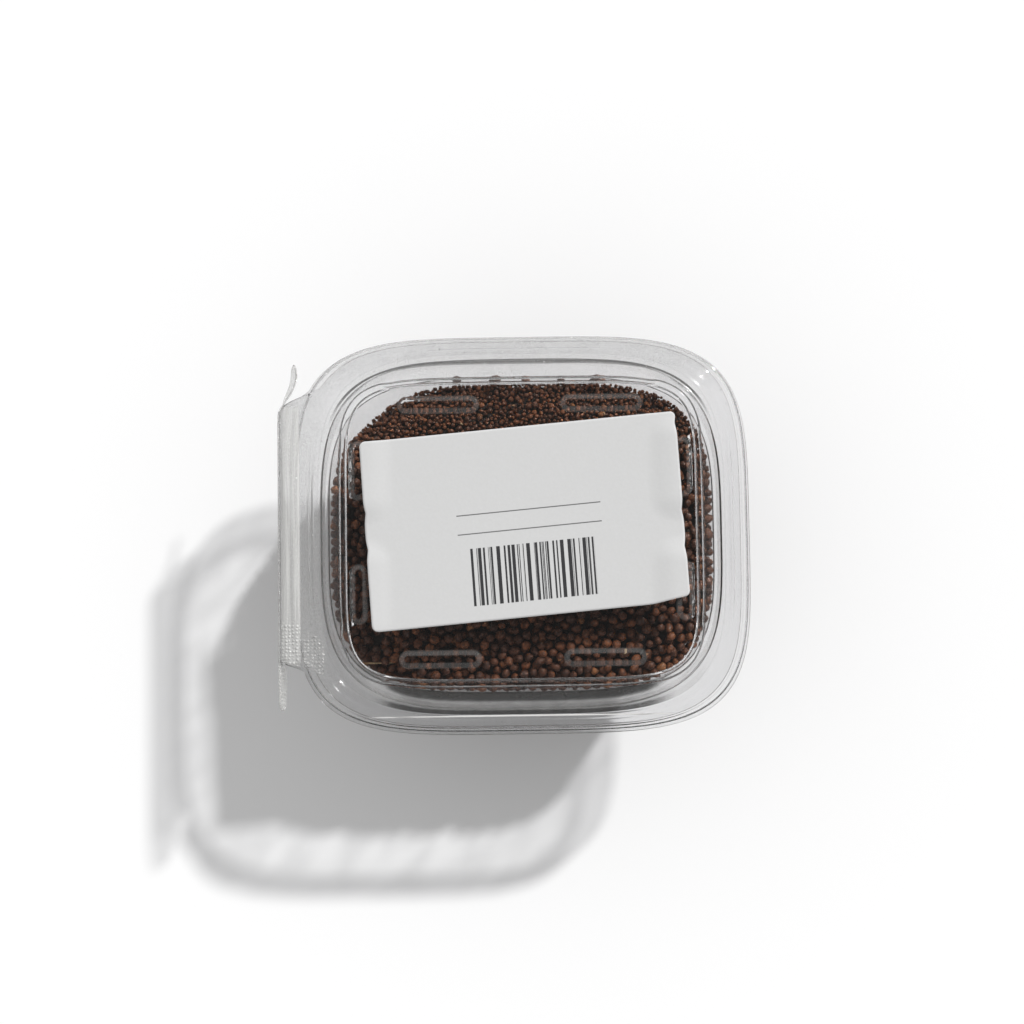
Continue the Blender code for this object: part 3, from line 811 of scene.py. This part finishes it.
lid_levels = rounded([
    (48.4, 40.8, 6.5, PANEL, 0, 0, 0, 0, 0),
    (49.2, 41.6, 6.5, PANEL, 0, 0, 0, 0, 0),
    (49.9, 42.3, 6.5, PANEL, 0, 0, 0, 0, 0.35),
    (50.15, 42.55, 6.4, 56.6, 0, 0, 0, 0, 0.25),
    (50.6, 43.0, 6.2, 55.5, 0.9, 0.7, 0, 0, 0.3),
    (51.8, 44.1, 6.0, 55.3, 0.4, 0.6, 0, 0, 0.3),
    (52.2, 44.5, 5.8, 54.3, 0.3, 0.4, 0, 0, 0.3),
    (57.0, 49.9, 3.75, 51.2, 0, 0, 0, 0, 0.6),
    (57.8, 50.9, 3.7, LID_FLANGE, 0, 0, 0, 0, 0.4),
    (60.0, 52.3, 3.9, LID_FLANGE, 0, 0, 0, 0, 0.2),
    (60.3, 52.6, 4.0, LID_FLANGE + 0.45, 0, 0, 0, 0, 0.2),
    (61.1, 53.6, 4.1, LID_FLANGE + 0.45, 0, 0, 0, 0, 0.2),
    (61.4, 54.0, 4.2, LID_FLANGE, 0, 0, 0, 0, 0.2),
    (61.9, 54.4, 4.2, LID_FLANGE, 0, 0, 0.24, 0, 0.1),
    (62.1, 54.6, 4.2, LID_FLANGE, 0, 0, 0.34, 0.5, 0.1),
    (62.4, 54.9, 4.2, LID_FLANGE, 0, 0, 0.50, 0.5, 0.1),
    (62.6, 55.1, 4.2, LID_FLANGE, 0, 0, 0.60, 0, 0.1),
    (63.1, 55.5, 4.3, LID_FLANGE, 0, 0, 1, 0, 0),
])
lug_profile = rounded([
    (2.7, 0, 0, 0.0, 0),
    (2.5, 0, 0, 0.0, 0),
    (2.15, 0, 0, 0.0, 0.35),
    (1.05, 0, 0, LUG_RISE / MM, 0.4),
    (0.45, 0, 0, LUG_RISE / MM, 0),
    (0.35, 0, 0, LUG_RISE / MM, 0),
], 3)


def raise_lug(made, at, half_length, turn):
    """One lug, grown edge by edge from its foot to its flat top. Gives the foot's edges."""
    angle = made.verts.layers.float["turn"]
    rubbed = made.verts.layers.float["rubbed"]
    off_axis = Matrix.Rotation(math.pi / 4 / LUG_ENDS, 4, "Z")
    circle = bmesh.ops.create_circle(made, segments=4 * LUG_ENDS, radius=1.0, matrix=off_axis)
    fresh = set(circle["verts"])
    for v in fresh:
        v[angle] = math.atan2(v.co.y, v.co.x)
    foot = list(dict.fromkeys(e for v in circle["verts"] for e in v.link_edges))
    edges = foot
    for number, (radius, _, _, rise) in enumerate(lug_profile):
        if number:
            grown = bmesh.ops.extrude_edge_only(made, edges=edges)["geom"]
            fresh = {g for g in grown if isinstance(g, bmesh.types.BMVert)}
            edges = [g for g in grown if isinstance(g, bmesh.types.BMEdge) and fresh.issuperset(g.verts)]
        for v in fresh:
            along = math.cos(v[angle])
            straight = math.copysign(half_length - LUG_HALF_WIDTH, along)
            flat = Vector((straight + along * radius * MM, math.sin(v[angle]) * radius * MM, 0.0))
            flat.rotate(Matrix.Rotation(turn, 3, "Z"))
            v.co = (flat.x + at[0] + TUB_X, flat.y + at[1], (PANEL + rise) * MM)
            v[rubbed] = 1.0 if RUBBED_FROM < radius < RUBBED_TO else 0.0
    bmesh.ops.edgeloop_fill(made, edges=edges)
    return foot


lid_mesh, panel_edges = loft(lid_levels, lid_place)
lid_mesh.verts.layers.float.new("rubbed")
open_edges = list(panel_edges)
for side in (-1, 1):
    for along in (-1, 1):
        open_edges += raise_lug(lid_mesh, (along * LUG_X, side * LUG_ROW_Y), LONG_LUG, 0.0)
        open_edges += raise_lug(lid_mesh, (side * LUG_ROW_X, along * LUG_Y), SHORT_LUG, math.pi / 2)
bmesh.ops.triangle_fill(lid_mesh, use_beauty=True, use_dissolve=False, edges=open_edges)


def lid_marks(place):
    """A clean panel, dust on the walls, cloudy hinge plates and the stippled corner of the grip, with
    painted highlights as light film along the panel's edge and along the near step of the groove.
    """
    x, y, _ = place.xyz()
    edge = place.spread(50.2, 42.6, 3).ramp(0.85, 1.2)
    plates = hinge_plate(x) * y.between(-38.5 * MM, -36.5 * MM, 36.5 * MM, 38.5 * MM)
    drawn = place.stretched(1.0, 0.03, 1.0).noise(1500.0, 1.0).ramp(0.4, 0.65)
    patch = hinge_plate(x) * (1.0 - y.ramp(-26.5 * MM, -24.5 * MM))
    u = (x + 60.9 * MM) * (1 / (6.4 * MM))
    v = (y + 36.0 * MM) * (1 / (8.6 * MM))
    moon = (1.0 - (u * u + v * v).ramp(0.85, 1.0)) * x.ramp(-61.1 * MM, -60.7 * MM)
    moon = moon * (y + x * 0.8).ramp(-86.2 * MM, -85.4 * MM)
    grip = (patch + moon) * pimples(place.stretched(1.0, 1.0, 0.0))
    rubbed = place.node("ShaderNodeAttribute", {"attribute_name": "rubbed"}, {}, 2)
    panel_edge = place.spread(50.0, 42.4, 3)
    # Painted highlight: a light band of film along the panel's edge.
    painted_edge_highlight = panel_edge.between(0.955, 0.985, 1.015, 1.045)
    # Painted highlight: a light line of film along the near step of the groove, where the sun glints.
    painted_step_highlight = y.between(-52.8 * MM, -52.65 * MM, -52.45 * MM, -52.3 * MM)
    painted_step_highlight = painted_step_highlight * (1.0 - place.spread(45.0, 100.0).ramp(0.6, 1.2))
    flange = place.spread(58.5, 50.8).ramp(0.95, 1.05)
    inside = y.ramp(14.0 * MM, 32.0 * MM) * (1.0 - flange)
    haze = shaded(place) * edge * (inside + flange)
    film = dust(place, 0.002 + edge * 0.008 + haze * 0.12) + 0.03 * rubbed
    film = film + plates * (0.28 + 0.2 * drawn) + grip * 0.55 + painted_edge_highlight * 0.02 + painted_step_highlight * 0.7
    held = 0.2 + on_rim(place) * 0.5 * (1.0 - hinge_band(place)) + plates * 0.5
    return film, haze * 0.3 * (1.0 - plates), held, grip * 1.6


lid_plastic = clear_sheet("lid_plastic", (0.93, 0.93, 0.935, 1.0), lid_marks)
lid = finished("clear_lid", lid_mesh, lid_plastic, SHEET)
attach(lid, "cover")
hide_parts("lid")

# Folds. The two living hinges: thin webs of the same sheet that run along the strip's lower and
# upper edges and join it to the tub's plate and to the lid's.
WEB = 0.3 * MM
WEB_END = 36.0 * MM
WEB_REACH = 0.45 * MM
for name, bodies, z in (
    ("lower_fold", ("base", "strip"), FOLD_LOW),
    ("upper_fold", ("strip", "cover"), FOLD_HIGH),
):
    web_mesh = bmesh.new()
    bmesh.ops.create_grid(web_mesh, x_segments=12, y_segments=60, size=1.0)
    for v in web_mesh.verts:
        v.co = ((HINGE_EDGE + STRIP_X) / 2 + v.co.x * WEB_REACH, v.co.y * WEB_END, z - WEB / 2)
    bmesh.ops.solidify(web_mesh, geom=web_mesh.faces[:], thickness=WEB)
    web = finished(name, web_mesh, strip_plastic)
    ends = [(HINGE_EDGE, 0, z), (STRIP_X, 0, z)]
    if bodies[0] == "strip":
        ends.reverse()
    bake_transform(web, *bodies, *ends)

# Label. A white self-adhesive paper label, stuck on the lid's panel a little askew by hand. Its
# ends ride up over the side lugs. Its print is plain: two ruled lines and a block of bars.
LABEL_WIDTH = 89.9 * MM
LABEL_HEIGHT = 54.5 * MM
LABEL_AT = (0.85 * MM, 2.5 * MM)
LABEL_TURN = math.radians(5.0)
LABEL_SLANT = math.radians(3.45)
LABEL_CORNER = 1.6 * MM
LABEL_SLOPE = 8.0 * MM
LABEL_CURL = 1.3 * MM
END_REACH = 0.45 * MM
END_DRAW = 0.9 * MM
GLUE = 0.1 * MM
PAPER = 0.12 * MM
LUG_FOOT = 0.3 * MM
RULE_HALF = 0.003
RULE_EDGE = 0.0005


def label_lift(x, y):
    """How far the label stands off the panel, from 0 to 1: a slope up and over each side lug."""
    lift = 0.0
    for side in (-1, 1):
        for along in (-1, 1):
            past_end = max(abs(y - along * LUG_Y) - SHORT_LUG, 0.0)
            past_side = max(LUG_ROW_X - LUG_HALF_WIDTH - side * x, 0.0)
            lift = max(lift, 1 - smooth_step(LUG_FOOT, LABEL_SLOPE, math.hypot(past_end, past_side)))
    return lift


label_mesh = bmesh.new()
bmesh.ops.create_grid(label_mesh, x_segments=150, y_segments=90, size=1.0)
uv = label_mesh.loops.layers.uv.new("UVMap")
for face in label_mesh.faces:
    for corner in face.loops:
        corner[uv].uv = ((corner.vert.co.x + 1) / 2, (corner.vert.co.y + 1) / 2)
for v in label_mesh.verts:
    across = v.co.x
    u = v.co.x * LABEL_WIDTH / 2
    w = v.co.y * LABEL_HEIGHT / 2
    a = max(abs(u) - (LABEL_WIDTH / 2 - LABEL_CORNER), 0.0) / LABEL_CORNER
    b = max(abs(w) - (LABEL_HEIGHT / 2 - LABEL_CORNER), 0.0) / LABEL_CORNER
    if a > 0 and b > 0:
        u = math.copysign(LABEL_WIDTH / 2 - LABEL_CORNER + LABEL_CORNER * a * math.sqrt(1 - b * b / 2), u)
        w = math.copysign(LABEL_HEIGHT / 2 - LABEL_CORNER + LABEL_CORNER * b * math.sqrt(1 - a * a / 2), w)
    curl = smooth_step(0.74, 1.0, across) * smooth_step(0.0, 1.0, -w / (LABEL_HEIGHT / 2))
    w += LABEL_CURL * curl
    x = LABEL_AT[0] + u * math.cos(LABEL_TURN) - w * math.sin(LABEL_SLANT)
    y = LABEL_AT[1] + u * math.sin(LABEL_TURN) + w * math.cos(LABEL_SLANT)
    lift = label_lift(x, y)
    x += math.copysign(END_REACH - END_DRAW * lift, across) * smooth_step(0.8, 1.0, abs(across))
    v.co = (x + TUB_X, y, PANEL * MM + SHEET / 2 + GLUE + lift * LUG_RISE)

paper, start = new_material("label_stock")
place = start.node("ShaderNodeTexCoord", {}, {}, 3)
page = start.node("ShaderNodeTexCoord", {}, {}, 2)
across, up, _ = page.xyz()
bars = start.node("ShaderNodeTexNoise", {"noise_dimensions": "1D"}, {
    "W": across, "Scale": 84.0, "Detail": 2.0})
block = across.between(0.322, 0.323, 0.716, 0.717) * up.between(0.082, 0.085, 0.383, 0.386)
ink = bars.ramp(0.5, 0.52) * block
thin = RULE_HALF - RULE_EDGE
thick = RULE_HALF + RULE_EDGE
for at in (0.562, 0.462):
    rule = up.between(at - thick, at - thin, at + thin, at + thick)
    ink = ink + rule * across.between(0.286, 0.287, 0.745, 0.746) * 0.8
upper_face = start.node("ShaderNodeTexCoord", {}, {}, 1).xyz()[2].ramp(0.0, 0.2)
fibres = place.noise(1400.0, 3.0)
white = fibres.blended((0.60, 0.60, 0.60, 1.0), (0.56, 0.56, 0.555, 1.0))
printed = (ink * upper_face).blended(white, (0.02, 0.02, 0.022, 1.0))
paper_normal = start.node("ShaderNodeBump", {}, {
    "Height": place.noise(700.0, 3.0), "Distance": 0.0001, "Strength": 0.3})
show(start, start.node("ShaderNodeBsdfPrincipled", {}, {
    "Base Color": printed,
    "Roughness": 0.62,
    "Normal": paper_normal,
}))
label = finished("paper_label", label_mesh, paper, PAPER)
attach(label, "cover")
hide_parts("label")

# Studio. A pale floor, one lamp as small as a window far off, a bright surround low down and a
# darker one overhead, and a camera that looks almost straight down from the near side.
floor_mesh = bmesh.new()
bmesh.ops.create_grid(floor_mesh, x_segments=1, y_segments=1, size=1.5)
floor_paint, start = new_material("floor_paint")
place = start.node("ShaderNodeTexCoord", {}, {}, 3)
pale = place.noise(4.0).blended((0.90, 0.90, 0.90, 1.0), (0.895, 0.895, 0.895, 1.0))
show(start, start.node("ShaderNodeBsdfPrincipled", {}, {
    "Base Color": pale, "Roughness": 0.9, "Specular IOR Level": 0.1}))
floor = finished("floor", floor_mesh, floor_paint)

world = bpy.data.worlds.new("studio")
bpy.context.scene.world = world
world.use_nodes = True
world.node_tree.nodes.clear()
start = Wire(world.node_tree)
across, _, height = start.node("ShaderNodeTexCoord", {}, {}, 0).xyz()
sky = height.node("ShaderNodeValToRGB", {"stops": [
    (0.0, (0.70, 0.70, 0.70)),
    (0.55, (0.66, 0.66, 0.66)),
    (0.80, (0.36, 0.36, 0.36)),
    (1.0, (0.22, 0.22, 0.22)),
]}, {0: height})
sky = sky.node("ShaderNodeVectorMath", {"operation": "SCALE"}, {0: sky, "Scale": 1.0 - across * 0.3})
backdrop = start.node("ShaderNodeBackground", {}, {"Color": sky, "Strength": 1.12})
start.node("ShaderNodeOutputWorld", {}, {"Surface": backdrop})

LAMP_FROM = Vector((0.88, 0.985, 1.0))
lamp_data = bpy.data.lights.new("key", "SUN")
lamp_data.energy = 3.15
lamp_data.angle = math.radians(3.4)
lamp = bpy.data.objects.new("key", lamp_data)
lamp.rotation_euler = LAMP_FROM.to_track_quat("Z", "Y").to_euler()
bpy.context.scene.collection.objects.link(lamp)

CAMERA_TURN = math.radians(0.8)
CAMERA_HEIGHT = math.radians(84.5)
CAMERA_AWAY = 0.685
AIM = Vector((TUB_X - 2.585 * MM, 6.0 * MM, 50.0 * MM))
camera_data = bpy.data.cameras.new("camera")
camera_data.lens = 83.5
camera_data.sensor_width = 36.0
camera_data.clip_start = 0.01
camera = bpy.data.objects.new("camera", camera_data)
bpy.context.scene.collection.objects.link(camera)
flat = Vector((math.sin(CAMERA_TURN), math.cos(CAMERA_TURN), 0.0))
back = Vector((0, 0, math.sin(CAMERA_HEIGHT))) - flat * math.cos(CAMERA_HEIGHT)
right = flat.cross(back).normalized()
camera.matrix_world = Matrix.Translation(AIM + back * CAMERA_AWAY) @ Matrix(
    (right, back.cross(right), back)).transposed().to_4x4()
scene = bpy.context.scene
scene.camera = camera
scene.view_settings.view_transform = "Standard"
scene.cycles.transparent_max_bounces = 24
scene.cycles.max_bounces = 14
scene.cycles.transmission_bounces = 12
